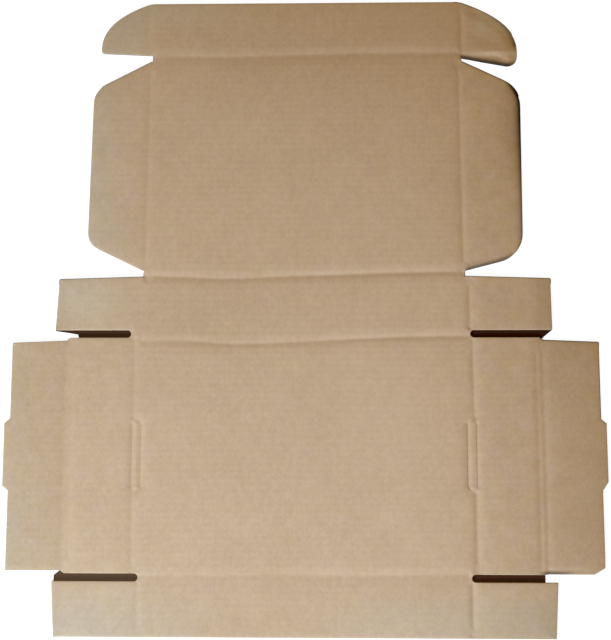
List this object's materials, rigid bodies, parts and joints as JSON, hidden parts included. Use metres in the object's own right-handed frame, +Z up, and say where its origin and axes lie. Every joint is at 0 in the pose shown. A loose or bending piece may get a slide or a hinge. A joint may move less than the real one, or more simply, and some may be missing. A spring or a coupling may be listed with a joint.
{
  "type": "flattened cardboard mailer box",
  "caption": "Flat die-cut blank of a roll-end tuck mailer box in corrugated kraft board: base, walls, lid and tuck in one sheet, with creases, slits, lock tabs and lock slots.",
  "frame": {"origin": "under the middle of the sheet's bounding box, on the surface that the sheet lies on", "axes": "+X to the right across the base, +Y from the front wall's edge towards the tuck, +Z up out of the face that becomes the inside"},
  "size_m": [0.5798, 0.622, 0.003],
  "materials": {
    "kraft_board": "matte unprinted kraft liner"
  },
  "bodies": {
    "root": {"blank": "kraft_board"}
  },
  "joints": []
}
